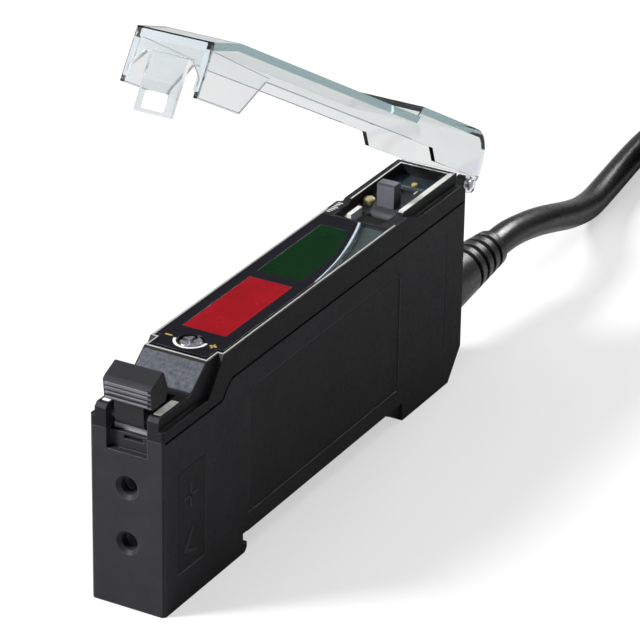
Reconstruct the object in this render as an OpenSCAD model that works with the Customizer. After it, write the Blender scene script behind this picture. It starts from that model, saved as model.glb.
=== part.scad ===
// Fibre optic amplifier, 10 mm wide, for a 35 mm rail.
// Two fibres plug into the front, a lock lever clamps them, two read-outs and the
// controls lie under a clear hinged lid, and the cable leaves at the back.
// Every piece is drawn from the front lower corner: Y runs back from the front
// face, Z runs up from the underside of the feet. The finished part is moved so
// that the middle of the rail seat is the origin.

/* [Housing] */
// Width of the housing from side to side
body_w = 10; // [9.8:0.1:12]
// Thickness of the side walls
wall = 0.8; // [0.7:0.05:0.9]
// Thickness of the floor above the rail
floor_t = 1.2; // [1:0.1:1.6]
// Thickness of the front wall
front_wall = 1.5; // [1.4:0.1:1.8]
// Thickness of the rear wall
rear_wall = 1; // [0.8:0.1:1.4]
// Height of the seam between base and cover
seam_z = 24.8; // [24.6:0.1:25.2]
// Height of the same seam at the front
front_seam_z = 22.8; // [22.7:0.1:23.2]
// Place where the seam steps up
seam_step_y = 12.9; // [11.5:0.1:14]
// Width of the chamfer on the upright edges
edge_cut = 0.35; // [0.2:0.05:0.5]

/* [Rail foot] */
// Height of the rail seat above the feet
seat_z = 2.6; // [2.4:0.1:3]
// Width of the rail
rail_w = 35; // [34.8:0.1:35.2]
// Length of the front foot
front_foot_l = 18.65; // [18.4:0.05:18.8]
// Depth of the undercut for the front edge of the rail
hook_depth = 0.9; // [0.6:0.1:1.2]
// Height of the undercut
hook_h = 1.3; // [1.1:0.1:1.6]
// Length of the snap lug
lug_l = 4.7; // [4:0.1:5.5]
// Length of the rear foot's underside
rear_foot_l = 12.4; // [8:0.2:13.9]
// Height of the rear foot's slanted end
rear_slant_h = 4.5; // [3:0.1:5]

/* [Fibre holes] */
// Diameter of the holes for the fibres
fibre_d = 2.2; // [2:0.05:2.4]
// Height of the lower hole
fibre_low_z = 8.6; // [8:0.1:9]
// Distance between the two holes
fibre_pitch = 7.26; // [6.8:0.02:7.6]
// Diameter of the chamfered mouths
mouth_d = 3.1; // [2.8:0.1:3.4]
// Place of the emitter and the receiver, from the front face
stop_y = 13.2; // [12:0.1:14]

/* [Cover] */
// Height of the step beside the ears
ledge_z = 24.1; // [23.9:0.1:24.3]
// Height of the ears
ear_z = 25.7; // [25.4:0.1:25.8]
// Half the width of the inset upper part
inset = 4.25; // [4.1:0.05:4.3]
// Half the width of the slot for the lever
slot_half = 2.75; // [2.5:0.05:2.9]
// Length of the slot for the lever
slot_l = 6.3; // [6:0.1:6.6]
// Foot of the sloping face
slope_y = 7.1; // [6.9:0.1:7.4]
// Front edge of the deck
deck_y = 10.65; // [10.2:0.05:10.9]
// Height of the deck's rim
deck_z = 28.45; // [28.2:0.05:28.5]
// Front end of the full-width deck, at the step and at the rim
shoulder_low_y = 9.8; // [9.4:0.1:10.2]
shoulder_top_y = 13.2; // [13:0.1:13.6]
// Length of the full-width rim beside the pocket
rim_tail = 3.8; // [3.4:0.1:4.4]
// Height of the step beside the rear walls
rear_ledge_z = 27.2; // [26.8:0.05:27.2]
// Height of the walls round the controls
rear_wall_z = 28.8; // [28.5:0.05:28.8]
// Distance from the rear end of those walls to the rear face
block_back = 1.5; // [1.2:0.1:1.8]
// Half the width of the pocket for the controls
pocket_half = 3.3; // [3.1:0.05:3.4]
// Length of the pocket
pocket_l = 17.6; // [17:0.1:19]
// Height of the pocket's floor
pocket_z = 27.3; // [27:0.1:27.5]
// Thickness of the pocket's floor
pocket_t = 0.9; // [0.7:0.1:1]

/* [Read-outs] */
// Half the width of the glossy window plate, and of its narrower front
plate_half = 4.6; // [4.45:0.05:4.65]
plate_front_half = 3.85; // [3.6:0.05:3.9]
// Front edge of the plate, and its length behind the green window
plate_y = 11.3; // [11.2:0.1:11.6]
plate_tail = 3; // [2.2:0.1:4]
// Thickness of the plate
plate_t = 0.95; // [0.7:0.05:1]
// Radius of the arc that cuts the plate's rear corner
plate_arc_r = 61.5; // [58:0.5:64]
// Half the width of the two windows
window_half = 2.95; // [2.6:0.05:3.1]
// Front edge and length of the red window
red_y = 17; // [16.8:0.1:17.4]
red_l = 15.5; // [13:0.1:16]
// Bar between the windows, and length of the green window
window_bar = 1.9; // [1.5:0.1:2.5]
green_l = 15.4; // [13:0.1:15.8]
// Place and diameter of the trimmer
trim_y = 14.1; // [14:0.1:14.2]
trim_d = 3; // [2.6:0.1:3.1]

/* [Controls] */
// Height of the jog lever's top
jog_top_z = 31.4; // [30.6:0.1:31.6]
// Width and thickness of the jog lever
jog_w = 2.5; // [2:0.1:2.8]
jog_t = 1.7; // [1.3:0.1:1.9]
// Pivot of the jog lever, behind the pocket's front end and above the feet
jog_in = 6.4; // [6.2:0.1:6.8]
jog_z = 26.3; // [26.2:0.05:26.4]
// Radius of the jog lever's drum
jog_r = 2.1; // [1.9:0.05:2.1]
// Length and width of the selector slide's knob
slide_l = 2.9; // [2.4:0.1:3]
slide_w = 0.6; // [0.5:0.05:0.7]
// Travel of the selector slide
slide_travel = 0.9; // [0.7:0.05:0.95]

/* [Lock lever] */
// Pivot of the lever
lever_y = 1.75; // [1.7:0.05:1.8]
lever_z = 24.2; // [24.1:0.05:24.3]
// Diameter of the lever's pin
lever_pin_d = 1.2; // [1:0.05:1.2]
// Half the width of the lever's stem
stem_half = 1.95; // [1.7:0.05:2.2]
// Half the width of the lever's head
head_half = 3.2; // [2.9:0.05:3.5]
// Height of the lever's head at its front and at its top
head_front_z = 29; // [28.6:0.1:29.1]
head_top_z = 30.25; // [29.8:0.05:30.3]
// Travel of the fibre clamp
clamp_travel = 0.26; // [0.2:0.02:0.3]

/* [Lid] */
// Angle of the lid above its closed place
lid_open = 29.5; // [10:0.5:60]
// Hinge of the lid, behind the rear face and above the feet
hinge_back = 1.4; // [1.3:0.05:1.6]
hinge_z = 26.3; // [26.2:0.05:26.4]
// Diameter of the lid's hinge pin
lid_pin_d = 1.2; // [1:0.05:1.3]
// Thickness of the lid's side walls and of its top
lid_side = 0.55; // [0.5:0.01:0.6]
lid_top_t = 0.9; // [0.7:0.05:1]
// Height of the closed lid's top and of its hump
lid_z = 31.9; // [31.7:0.05:32.2]
hump_z = 33.2; // [33:0.1:34]
// Distance of the hump's front edge behind the pocket's
hump_in = 0.7; // [0:0.1:2]
// Radius of the hump's rear corner
hump_r = 4; // [3:0.1:4.4]
// Half the width of the finger tab, and its lower edge
tab_half = 2.4; // [2:0.05:2.6]
tab_z = 21.6; // [21:0.1:22.5]

/* [Cable] */
// Diameter of the cable
cable_d = 4; // [3.4:0.1:4.4]
// Height of the cable's exit
cable_z = 9.6; // [9.4:0.1:10.4]
// Length of the strain relief
relief_l = 17.4; // [17.4:0.1:17.5]
// Diameter of the strain relief at the housing and at its end
relief_d = 7.8; // [7:0.1:8]
relief_end_d = 5.2; // [5:0.1:5.6]
// Distance across the folded coil, outside
coil_d = 36; // [34:1:40]
// Length of its straight runs
coil_run = 78; // [60:1:80]
// Width and height of the bundle in each run
bundle_w = 8; // [7:0.5:9]
bundle_h = 16; // [14:0.5:18]

/* [Hidden] */
$fn = 48;
// Clearances: between parts that slide or turn, and between fixed parts
run_gap = 0.05;
gap = 0.1;
// Reach of a cut beyond the material
over = 1;
green_y = red_y + red_l + window_bar;
plate_end_y = green_y + green_l + plate_tail;
bezel = 0.8;
pocket_wall = 0.9;
pocket_y = plate_end_y + bezel;
pocket_end_y = pocket_y + pocket_l;
rear_block_y = pocket_end_y + pocket_wall;
body_l = rear_block_y + block_back;
rim_end_y = pocket_y + rim_tail;
rim_foot_y = rim_end_y + 3.4;
jog_y = pocket_y + jog_in;
hinge_y = body_l + hinge_back;
hump_y = pocket_y + hump_in;
hump_end_y = body_l - 1;
hook_y = front_foot_l - hook_depth;
rail_y = hook_y + gap / 2 + rail_w / 2;
lug_y = hook_y + rail_w + 1.5 * gap;
rear_foot_y = lug_y + lug_l;
rear_foot_end_y = rear_foot_y + rear_foot_l;
half_w = body_w / 2;
inner_half = half_w - wall;
fibre_zs = [fibre_low_z, fibre_low_z + fibre_pitch];
floor_z = seat_z + floor_t;
plate_z = deck_z - 0.75;
plate_top = plate_z + plate_t;
trim_split = plate_z - 0.9;
trim_half = 2.2;
jog_x0 = -0.7;
jog_x1 = 2.9;
jog_pin_d = 0.8;
slide_x = -1.75;
slide_y0 = pocket_y + 1.1;
led_x = -2.4;
led_y = pocket_y + 7.6;
led_d = 1.6;
power_x = 0;
power_y = pocket_end_y - 2.4;
power_d = 0.9;
board_z = 23.1;
board_t = 0.8;
board_top = board_z + board_t;
main_x = 2.6;
notch_z = 20.3;
notch_depth = 0.9;
guide_end_y = 16.8;
clamp_y = front_wall + gap;
clamp_t = 2.1;
clamp_half = slot_half - 0.15;
hub_r = 1.1;
nose_reach = 1.05;
nose_r = 0.4;
nose_angle = 52;
clamp_top = lever_z - nose_reach * cos(nose_angle) - nose_r - 0.15;
seam_line = 0.16;
lid_wing_z = ledge_z + 0.3;
lid_wall_z = deck_z + 0.4;

// Moves a piece from the front lower corner to the rail seat
module placed() {
    translate([0, -rail_y, -seat_z]) children();
}

// Extrudes an outline drawn in (Y, Z) from x0 to x1
module slab(x0, x1) {
    translate([x0, 0, 0]) rotate([90, 0, 90]) linear_extrude(x1 - x0) children();
}

// Cylinder along Y from y0 to y1
module rod_y(x, z, d, y0, y1) {
    translate([x, y1, z]) rotate([90, 0, 0]) cylinder(d = d, h = y1 - y0);
}

// Cylinder along X from x0 to x1
module rod_x(y, z, d, x0, x1) {
    translate([x0, y, z]) rotate([0, 90, 0]) cylinder(d = d, h = x1 - x0);
}

// Block from its lowest to its highest corner
module block(low, high) {
    translate(low) cube(high - low);
}

// Outline of the housing seen from above, with chamfered upright edges
module plan() {
    polygon([
        [-half_w, edge_cut], [edge_cut - half_w, 0], [half_w - edge_cut, 0], [half_w, edge_cut],
        [half_w, body_l - edge_cut], [half_w - edge_cut, body_l],
        [edge_cut - half_w, body_l], [-half_w, body_l - edge_cut]
    ]);
}

// The seam from the front to the rear, as (Y, Z) points
function seam() = [
    [0, front_seam_z], [seam_step_y, front_seam_z],
    [seam_step_y + 0.75, front_seam_z + 0.95], [seam_step_y + 2.15, seam_z], [body_l, seam_z]
];
function reversed(list) = [for (i = [len(list) - 1:-1:0]) list[i]];

// Base

module base_outline() {
    toe = 0.5;
    polygon(concat(
        seam(),
        [
            [body_l, rear_slant_h], [rear_foot_end_y, 0], [rear_foot_y, 0], [rear_foot_y, seat_z],
            [front_foot_l, seat_z], [front_foot_l, toe], [front_foot_l - toe, 0], [0, 0]
        ]
    ));
}

module base_housing() {
    lug_half = half_w - 0.6;
    panel_t = 0.12;
    color([0.16, 0.16, 0.165]) placed() {
        difference() {
            union() {
                intersection() {
                    slab(-half_w, half_w) base_outline();
                    linear_extrude(seam_z + over) plan();
                }
                slab(-lug_half, lug_half)
                    polygon([
                        [lug_y, seat_z], [rear_foot_y, 0.2], [rear_foot_y + 0.2, 0.2],
                        [rear_foot_y + 0.2, seat_z + 0.2], [lug_y, seat_z + 0.2]
                    ]);
            }
            // Room for the electronics
            block([-inner_half, front_wall, floor_z], [inner_half, body_l - rear_wall, seam_z + over]);
            // Undercut for the front edge of the rail
            block([-half_w - over, hook_y, seat_z - hook_h], [half_w + over, front_foot_l + gap, seat_z + gap]);
            // Lever slot and its recessed wall
            block([-slot_half, -over, notch_z], [slot_half, notch_depth, seam_z]);
            block([-slot_half, -over, front_seam_z - 0.4], [slot_half, front_wall + over, seam_z]);
            block([-0.9, 0, 21.6], [1.7, front_wall + over, 22.1]);
            // Fibre holes with their mouths
            for (z = fibre_zs) {
                rod_y(0, z, fibre_d, -over, front_wall + over);
                translate([0, (mouth_d - fibre_d) / 2, z]) rotate([90, 0, 0])
                    cylinder(d1 = fibre_d, d2 = mouth_d + (mouth_d - fibre_d), h = mouth_d - fibre_d);
            }
            // Flexing slot behind the snap lug
            block([-lug_half, rear_foot_y + 1.4, -over], [lug_half, rear_foot_y + 2, seat_z + 0.2]);
            // Seat of the strain relief
            rod_y(0, cable_z, relief_d - 2, body_l - rear_wall - over, body_l + over);
            // Shallow label panels on the sides
            for (side = [0, 1]) mirror([side, 0, 0]) {
                block(
                    [half_w - panel_t, front_foot_l + 0.35, seat_z + 2.4],
                    [half_w + over, pocket_y + 2.4, seam_z - 3.2]
                );
                block([half_w - panel_t, 3, 4.2], [half_w + over, 9.2, 17.6]);
                // Fine groove before the rear end
                block(
                    [half_w - panel_t, body_l - 5.4, seat_z + 2.8],
                    [half_w + over, body_l - 5.15, seam_z - 2.9]
                );
                // Shadow line under the seam
                slab(half_w - panel_t, half_w + over)
                    polygon(concat(seam(), reversed([for (p = seam()) p - [0, seam_line]])));
            }
        }
    }
}

// Cover

module full_width_outline() {
    polygon(concat(
        [[0, ledge_z], [shoulder_low_y, ledge_z], [shoulder_top_y, deck_z], [rim_end_y, deck_z]],
        [[rim_foot_y, rear_ledge_z], [rear_block_y, rear_ledge_z], [body_l, rear_ledge_z - 1.1]],
        reversed(seam())
    ));
}

module inset_outline() {
    low = front_seam_z + 0.4;
    ear_cut = 0.45;
    polygon([
        [0, low], [0, ear_z - ear_cut], [ear_cut, ear_z], [slope_y, ear_z], [deck_y, deck_z],
        [rim_end_y, deck_z], [rim_end_y + 0.8, rear_wall_z], [rear_block_y, rear_wall_z],
        [rear_block_y, seam_z + 0.2], [seam_step_y + 1.9, seam_z + 0.2], [seam_step_y - 0.4, low]
    ]);
}

// The window plate: narrower in front, its right rear corner cut by a large arc
module plate_outline(grow) {
    arc_y = plate_end_y - 21.3;
    wide_y = shoulder_top_y + 0.5;
    intersection() {
        union() {
            translate([-plate_front_half - grow, plate_y - grow])
                square([2 * (plate_front_half + grow), plate_end_y - plate_y]);
            translate([-plate_half - grow, wide_y - grow])
                square([2 * (plate_half + grow), plate_end_y - wide_y + 2 * grow]);
        }
        union() {
            translate([plate_half + 0.05 - plate_arc_r, arc_y]) circle(r = plate_arc_r + grow, $fn = 240);
            translate([-body_w, 0]) square([2 * body_w, arc_y]);
        }
    }
}

module top_cover() {
    cavity_half = inset - wall;
    lip_out = inner_half - gap;
    lip_in = lip_out - 0.45;
    floor_low = pocket_z - pocket_t;
    color([0.17, 0.17, 0.175]) placed() difference() {
        union() {
            cover_shell(cavity_half, floor_low);
            hinge_lugs();
            // Bearings of the jog lever
            block([jog_x0 - 0.9, jog_y - 1, jog_z - 0.9], [jog_x0 - 0.2, jog_y + 1, pocket_z]);
            block([jog_x1 + 0.2, jog_y - 1, jog_z - 0.9], [inset - 0.2, jog_y + 1, pocket_z]);
            // Lip that locates the cover in the base
            for (side = [0, 1]) mirror([side, 0, 0])
                block([lip_in, 18, board_top + gap], [lip_out, pocket_end_y, seam_z + 0.4]);
        }
        rod_x(jog_y, jog_z, jog_pin_d + 2 * run_gap, jog_x0 - 2, jog_x1 + 0.75);
    }
}

module cover_shell(cavity_half, floor_low) {
    difference() {
        union() {
            intersection() {
                slab(-half_w, half_w) full_width_outline();
                linear_extrude(deck_z + over) plan();
            }
            slab(-inset, inset) inset_outline();
        }
        // Slot for the lock lever
        block([-slot_half, -over, front_seam_z - over], [slot_half, slot_l, deck_z + over]);
        // Bore for the lever's pin
        rod_x(lever_y, lever_z, lever_pin_d + 0.04, -4.05, 4.05);
        // Room under the slope and the deck
        slab(-cavity_half, cavity_half)
            polygon([
                [slope_y + 0.9, front_seam_z - over], [slope_y + 0.9, ear_z - 0.7],
                [deck_y + 0.75, plate_z - 0.4], [deck_y + 1.4, plate_z - 0.4],
                [deck_y + 1.4, plate_z + 0.01], [plate_end_y, plate_z + 0.01],
                [plate_end_y, floor_low], [pocket_end_y, floor_low],
                [pocket_end_y, front_seam_z - over]
            ]);
        slab(-inner_half, inner_half)
            polygon([
                [shoulder_top_y + 1.6, front_seam_z - over], [shoulder_top_y + 1.6, plate_z - 0.4],
                [plate_end_y, plate_z - 0.4], [plate_end_y, rear_ledge_z - 1],
                [pocket_end_y, rear_ledge_z - 1], [pocket_end_y, front_seam_z - over]
            ]);
        // Rebate for the window plate, and the lower corner beside its arc
        translate([0, 0, plate_z]) linear_extrude(over + 1) plate_outline(gap / 2);
        block([-plate_half, green_y, deck_z - 0.35], [plate_half, pocket_y - 0.2, deck_z + over]);
        // Pocket for the controls
        block([-pocket_half, pocket_y, pocket_z], [pocket_half, pocket_end_y, rear_wall_z + over]);
        // Opening of the jog lever
        block([jog_x0 - 0.2, jog_y - 2.3, floor_low - over], [jog_x1 + 0.2, jog_y + 2.3, pocket_z + over]);
        // Slot of the selector knob
        block(
            [slide_x - slide_w / 2 - gap, slide_y0 - gap, floor_low - over],
            [slide_x + slide_w / 2 + gap, slide_y0 + slide_l + slide_travel + gap, pocket_z + over]
        );
        // Blind slot behind the jog lever
        block([-1.1, power_y - 3, pocket_z - 0.45], [1, power_y - 1.6, pocket_z + over]);
        // Holes of the two lamps
        translate([led_x, led_y, floor_low - over]) cylinder(d = led_d + 2 * gap, h = 4);
        translate([power_x, power_y, floor_low - over]) cylinder(d = power_d + 2 * gap, h = 4);
    }
}

// Lugs behind the cover that carry the lid
module hinge_lugs() {
    lug_r = 0.95;
    for (side = [0, 1]) mirror([side, 0, 0])
        difference() {
            slab(3, inset) {
                translate([hinge_y, hinge_z]) circle(r = lug_r);
                polygon([
                    [body_l - 0.6, 25], [body_l, 25], [hinge_y - 0.1, hinge_z - lug_r + 0.02],
                    [hinge_y - 0.1, hinge_z + lug_r - 0.02], [body_l - 0.6, 26.4]
                ]);
            }
            rod_x(hinge_y, hinge_z, lid_pin_d + 0.04, 2, half_w);
        }
}

module lid_pin() {
    color([0.75, 0.75, 0.77]) placed() rod_x(hinge_y, hinge_z, lid_pin_d, 0.1 - half_w, half_w - 0.1);
}

// Read-outs

module window(y, l, grow) {
    intersection() {
        translate([-window_half - grow, y - grow]) square([2 * (window_half + grow), l + 2 * grow]);
        plate_outline(grow - 0.9);
    }
}

module window_plate() {
    color([0.05, 0.05, 0.055]) placed() difference() {
        translate([0, 0, plate_z]) linear_extrude(plate_t) plate_outline(-gap / 2);
        translate([0, 0, plate_z - over]) linear_extrude(plate_t + 2 * over) {
            window(red_y, red_l, 0);
            window(green_y, green_l, 0);
            translate([0, trim_y]) circle(d = trim_d + 2 * gap);
        }
    }
}

module red_window() {
    color([0.62, 0.06, 0.1]) placed() translate([0, 0, plate_z])
        linear_extrude(plate_t - 0.02) window(red_y, red_l, -0.02);
}

module green_window() {
    color([0.05, 0.25, 0.1]) placed() translate([0, 0, plate_z])
        linear_extrude(plate_t - 0.02) window(green_y, green_l, -0.02);
}

// Four-digit module: a block with one shallow cell for each digit
module digit_module(y, l) {
    module_half = 3.3;
    top = plate_z - gap;
    cell = (l - 1) / 4;
    difference() {
        block([-module_half, y, board_top], [module_half, y + l, top]);
        for (i = [0:3])
            block(
                [-module_half + 0.9, y + 0.75 + i * cell, top - 0.4],
                [module_half - 0.9, y + 0.25 + (i + 1) * cell, top + over]
            );
    }
}

module red_display() {
    color([0.75, 0.75, 0.72]) placed() digit_module(red_y - 0.2, red_l + 0.5);
}

module green_display() {
    color([0.75, 0.75, 0.72]) placed() digit_module(green_y - 0.4, green_l + 0.5);
}

module trimmer_body() {
    color([0.2, 0.3, 0.55]) placed() difference() {
        block([-trim_half, trim_y - trim_half, board_top], [trim_half, trim_y + trim_half, trim_split]);
        translate([0, trim_y, trim_split - 1.2]) cylinder(d = 1.4 + 2 * run_gap, h = 2);
    }
}

module trimmer_rotor() {
    slot_w = 0.5;
    top = plate_top - 0.1;
    color([0.8, 0.8, 0.8]) placed() translate([0, trim_y, 0]) difference() {
        union() {
            translate([0, 0, trim_split - 1.1]) cylinder(d = 1.4, h = 2);
            translate([0, 0, trim_split + gap]) cylinder(d = trim_d, h = top - 0.25 - trim_split - gap);
            translate([0, 0, top - 0.25]) cylinder(d1 = trim_d, d2 = trim_d - 0.4, h = 0.25);
        }
        for (turn = [0, 90]) rotate([0, 0, turn])
            block([-trim_d, -slot_w / 2, top - 0.6], [trim_d, slot_w / 2, top + over]);
    }
}

// Controls behind the read-outs

module jog_lever() {
    flat_z = jog_z - 0.5;
    color([0.3, 0.3, 0.31]) placed() {
        difference() {
            rod_x(jog_y, jog_z, 2 * jog_r, jog_x0, jog_x1);
            block([jog_x0 - over, jog_y - 3, jog_z - 3], [jog_x1 + over, jog_y + 3, flat_z]);
        }
        rod_x(jog_y, jog_z, jog_pin_d, jog_x0 - 0.8, jog_x1 + 0.65);
        slab(-0.25, jog_w - 0.25)
            polygon([
                [jog_y - 0.9, jog_z + 1], [jog_y - 0.9, jog_top_z - 0.2], [jog_y - 0.7, jog_top_z],
                [jog_y + jog_t - 1.1, jog_top_z], [jog_y + jog_t - 0.9, jog_top_z - 0.2],
                [jog_y + jog_t - 0.9, jog_z + 1]
            ]);
    }
}

module jog_switch() {
    color([0.25, 0.25, 0.26]) placed() {
        block([jog_x0 + 0.2, jog_y - 2, board_top], [jog_x1 - 0.2, jog_y + 2, board_top + 1.1]);
        for (side = [-1, 1])
            translate([(jog_x0 + jog_x1) / 2, jog_y + side, board_top + 1]) cylinder(d = 1.2, h = 0.45);
    }
}

module selector_knob() {
    color([0.9, 0.9, 0.9]) placed() {
        block(
            [slide_x - slide_w / 2, slide_y0, pocket_z - 1.9],
            [slide_x + slide_w / 2, slide_y0 + slide_l, pocket_z + 1.1]
        );
        block(
            [slide_x - 0.7, slide_y0 + 0.2, pocket_z - 1.9],
            [slide_x + 0.7, slide_y0 + slide_l - 0.2, pocket_z - pocket_t - 0.2]
        );
    }
}

module selector_switch() {
    body_half = 1.2;
    color([0.3, 0.3, 0.32]) placed() difference() {
        block(
            [slide_x - body_half, slide_y0 - 1, board_top],
            [jog_x0 - gap, slide_y0 + slide_l + slide_travel + 0.3, pocket_z - pocket_t - 0.3]
        );
        block(
            [slide_x - 0.8, slide_y0 - gap, pocket_z - 2],
            [slide_x + 0.8, slide_y0 + slide_l + slide_travel + gap, pocket_z]
        );
    }
}

// Lamp with a round top, standing on the display board
module lamp(x, y, d, top) {
    translate([x, y, board_top]) rotate_extrude()
        polygon(concat(
            [[0, 0], [d / 2 + 0.2, 0], [d / 2 + 0.2, 0.8], [d / 2, 0.8], [d / 2, top - board_top - d / 4]],
            [for (a = [15:15:90]) [cos(a) * d / 2, top - board_top - d / 4 + sin(a) * d / 4]]
        ));
}

module output_led() {
    color([0.9, 0.7, 0.25]) placed() lamp(led_x, led_y, led_d, pocket_z + 0.9);
}

module power_led() {
    color([0.85, 0.75, 0.45]) placed() lamp(power_x, power_y, power_d, pocket_z + 0.4);
}

// Lock lever and clamp

module lock_lever() {
    head_low_z = ear_z + 0.75;
    rib = 0.18;
    nose = [lever_y + nose_reach * sin(nose_angle), lever_z - nose_reach * cos(nose_angle)];
    across = [nose_r * cos(nose_angle), nose_r * sin(nose_angle)];
    color([0.3, 0.3, 0.31]) placed() difference() {
        union() {
            // Stem, hub and the cam nose that presses the clamp down
            slab(-stem_half, stem_half) {
                translate([lever_y, lever_z]) circle(r = hub_r);
                translate(nose) circle(r = nose_r);
                polygon([nose - across, [lever_y, lever_z] - across, [lever_y, lever_z] + across, nose + across]);
                polygon([
                    [lever_y - hub_r + 0.02, lever_z], [0.5, head_low_z + 0.2],
                    [3, head_low_z + 0.2], [lever_y + hub_r - 0.02, lever_z]
                ]);
            }
            slab(-head_half, head_half)
                polygon([
                    [0.4, head_low_z], [0.15, head_front_z], [0.6, head_front_z + 0.35],
                    [2.7, head_top_z], [3, head_top_z - 0.1], [3.9, 27.6], [3.2, head_low_z]
                ]);
            // Grip ribs on the front
            for (z = [head_low_z + 0.5:0.6:head_front_z - 0.2])
                slab(-head_half + 0.3, head_half - 0.3)
                    polygon([[0.45, z - rib], [0.02, z - rib / 2], [0.02, z + rib / 2], [0.45, z + rib]]);
        }
        rod_x(lever_y, lever_z, lever_pin_d + 2 * run_gap, -half_w, half_w);
    }
}

module lever_pin() {
    color([0.75, 0.75, 0.77]) placed() rod_x(lever_y, lever_z, lever_pin_d, -4, 4);
}

module fibre_clamp() {
    window_d = fibre_d + 0.5;
    color([0.55, 0.55, 0.57]) placed() difference() {
        block([-clamp_half, clamp_y, floor_z + 0.4], [clamp_half, clamp_y + clamp_t, clamp_top]);
        for (z = fibre_zs) rod_y(0, z - clamp_travel / 2, window_d, 0, clamp_y + clamp_t + over);
    }
}

module fibre_guide() {
    guide_half = inner_half - gap;
    channel_end = clamp_y + clamp_t + gap;
    low_top = 19.6;
    color([0.22, 0.22, 0.23]) placed() difference() {
        slab(-guide_half, guide_half)
            polygon([
                [front_wall, floor_z], [front_wall, front_seam_z - 0.5], [slot_l - 0.4, front_seam_z - 0.5],
                [slot_l - 0.4, low_top], [guide_end_y, low_top], [guide_end_y, floor_z]
            ]);
        // Channel of the clamp
        block([-clamp_half - gap, 0, floor_z - over], [clamp_half + gap, channel_end, front_seam_z]);
        for (z = fibre_zs) {
            rod_y(0, z, fibre_d, 0, guide_end_y);
            rod_y(0, z, led_body_d + 2 * gap, stop_y, guide_end_y + over);
        }
        // Core-outs that keep the walls even
        for (side = [0, 1]) mirror([side, 0, 0])
            block([2.6, 6.5, floor_z + 1.2], [guide_half + over, guide_end_y - 1.2, low_top - 1.2]);
    }
}

// Emitter and receiver

led_body_d = 3;
leg = 0.4;
// Two legs that run back from a package and turn to the main board
module legs(z) {
    for (dz = [-0.8, 0.8]) {
        block([-leg / 2, guide_end_y - 0.4, z + dz - leg / 2], [leg / 2, guide_end_y + 1, z + dz + leg / 2]);
        block([-leg / 2, guide_end_y + 0.8, z + dz - leg / 2], [main_x, guide_end_y + 1.2, z + dz + leg / 2]);
    }
}

module emitter_led() {
    z = fibre_zs[0];
    color([0.8, 0.25, 0.2]) placed() {
        translate([0, guide_end_y - 0.4, z]) rotate([90, 0, 0]) rotate_extrude()
            polygon(concat(
                [[0, 0], [led_body_d / 2, 0], [led_body_d / 2, 2]],
                [for (a = [18:18:90]) [cos(a) * led_body_d / 2, 2 + sin(a) * 1]]
            ));
        legs(z);
    }
}

module photodiode() {
    z = fibre_zs[1];
    color([0.2, 0.2, 0.25]) placed() {
        rod_y(0, z, led_body_d, stop_y + gap, guide_end_y - 0.4);
        legs(z);
    }
}

module shield_can() {
    sheet = 0.2;
    low = [0.7, guide_end_y + 2.7, 9.5];
    high = [main_x, guide_end_y + 12.7, 20.5];
    color([0.7, 0.71, 0.72]) placed() difference() {
        block(low, high);
        block(low + [sheet, sheet, sheet], [high[0] + over, high[1] - sheet, high[2] - sheet]);
    }
}

// Boards

module main_board() {
    color([0.08, 0.32, 0.16]) placed()
        block([main_x, guide_end_y + 0.4, floor_z], [main_x + 0.8, body_l - rear_wall - 2.4, board_z]);
}

module display_board() {
    half = inner_half - gap;
    front_half = inset - wall - gap;
    front_y = trim_y - trim_half - 0.2;
    wide_y = shoulder_top_y + 1.8;
    end_y = body_l - rear_wall - 1.6;
    color([0.08, 0.32, 0.16]) placed() translate([0, 0, board_z]) linear_extrude(board_t)
        polygon([
            [-front_half, front_y], [front_half, front_y], [front_half, wide_y], [half, wide_y],
            [half, end_y], [-half, end_y], [-half, wide_y], [-front_half, wide_y]
        ]);
}

module processor_chip() {
    side = 7;
    y = green_y + 7.6;
    z = 8;
    color([0.12, 0.12, 0.13]) placed() {
        block([main_x - 1.1, y, z], [main_x - 0.1, y + side, z + side]);
        for (i = [0:7]) {
            at = 0.7 + i * 0.75;
            block([main_x - 0.5, y - 0.9, z + at], [main_x, y + side + 0.9, z + at + 0.3]);
            block([main_x - 0.5, y + at, z - 0.9], [main_x, y + at + 0.3, z + side + 0.9]);
        }
    }
}

module receiver_chip() {
    y = guide_end_y + 5.2;
    color([0.12, 0.12, 0.13]) placed() {
        block([main_x - 1.3, y, 12], [main_x - 0.1, y + 5, 16]);
        for (i = [0:3])
            block([main_x - 0.5, y + 0.4 + i * 1.27, 11], [main_x, y + 0.8 + i * 1.27, 17]);
    }
}

module output_transistor() {
    y = pocket_y + 2.4;
    color([0.12, 0.12, 0.13]) placed() {
        block([main_x - 1.5, y, 9], [main_x - 0.1, y + 4.5, 11.5]);
        for (i = [0:2])
            block([main_x - 0.5, y + 0.4 + i * 1.5, 8], [main_x, y + 1 + i * 1.5, 12]);
    }
}

module supply_capacitor() {
    can_d = 5;
    y = plate_end_y + 0.2;
    z = 16.5;
    color([0.65, 0.66, 0.68]) placed() {
        rod_x(y, z, can_d, main_x - 5, main_x - 0.4);
        block([main_x - 0.5, y - can_d / 2, z - can_d / 2], [main_x, y + can_d / 2, z + can_d / 2]);
    }
}

module chip_capacitors() {
    y = green_y - 2.9;
    color([0.6, 0.5, 0.38]) placed()
        for (i = [0:4])
            block([main_x - 0.8, y + i * 2, 8], [main_x, y + 1.2 + i * 2, 10]);
}

module board_connector() {
    y = green_y + 1.6;
    color([0.85, 0.82, 0.72]) placed() difference() {
        block([main_x - 2.5, y, board_z - 3], [main_x, y + 12, board_z]);
        for (i = [0:7])
            block(
                [main_x - 1.6, y + 0.9 + i * 1.35, board_z - 3 - over],
                [main_x - 0.9, y + 1.6 + i * 1.35, board_z - 1]
            );
    }
}

// Clear lid, drawn closed and then swung open about its hinge

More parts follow.
